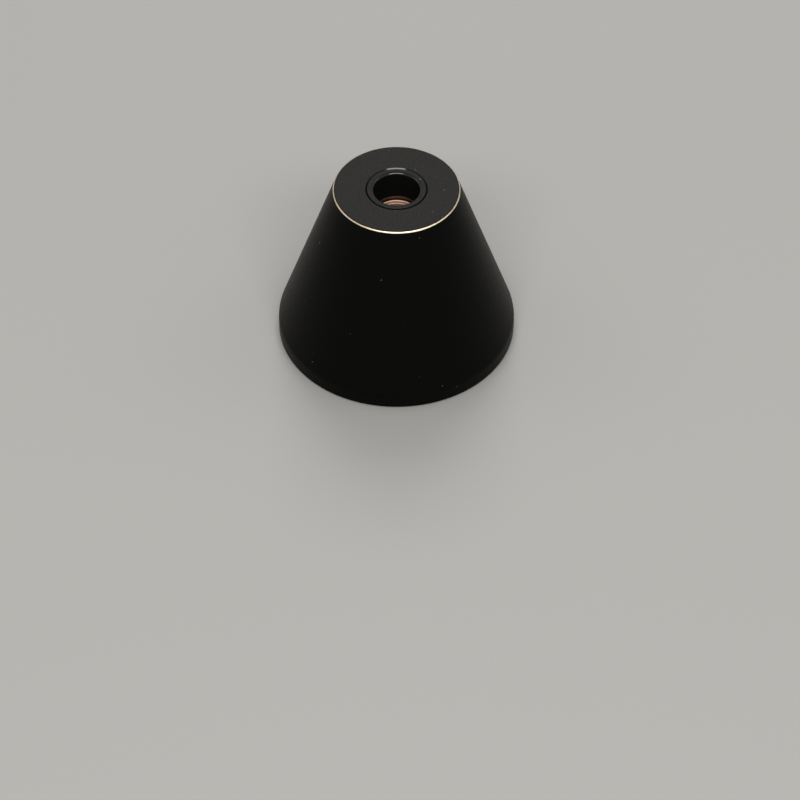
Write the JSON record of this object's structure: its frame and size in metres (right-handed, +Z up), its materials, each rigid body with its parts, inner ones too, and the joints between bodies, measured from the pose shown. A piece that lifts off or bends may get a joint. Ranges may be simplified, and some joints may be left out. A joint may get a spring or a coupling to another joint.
{
  "type": "desk pen stand",
  "caption": "Cone-shaped desk stand for a fountain pen, with a lined round socket and a sprung well that covers the nib.",
  "frame": {"origin": "on the desk surface, at the centre of the foot pad, under the cone's axis", "axes": "+Z up along the cone's axis, out of the pen socket; +X to the right and +Y to the back are free choices on a round part, and the coin slot in the plug lies along X"},
  "size_m": [0.048, 0.048, 0.0375],
  "materials": {
    "coated_brass": "matte",
    "black_gloss": "gloss",
    "black_rubber": "matte",
    "copper": "satin",
    "spring_steel": "satin",
    "brass": "satin",
    "tape": "matte"
  },
  "bodies": {
    "stand": {"cone_body": "coated_brass", "mouth_bush": "black_gloss", "bush_seal": "black_rubber", "well_spring": "spring_steel", "spring_washer": "spring_steel", "base_plug": "brass", "plug_seal": "black_rubber", "foot_pad": "black_rubber", "pad_tape": "tape"},
    "well": {"seat_ring": "copper", "well_tube": "black_gloss"}
  },
  "joints": [
    {"name": "well_slide", "type": "slide", "parent": "stand", "child": "well", "axis": [0, 0, 1], "range_m": [-0.0016, 0], "stiffness_N_per_m": 115, "springref_m": 0.0028, "deforming": ["well_spring"]}
  ]
}
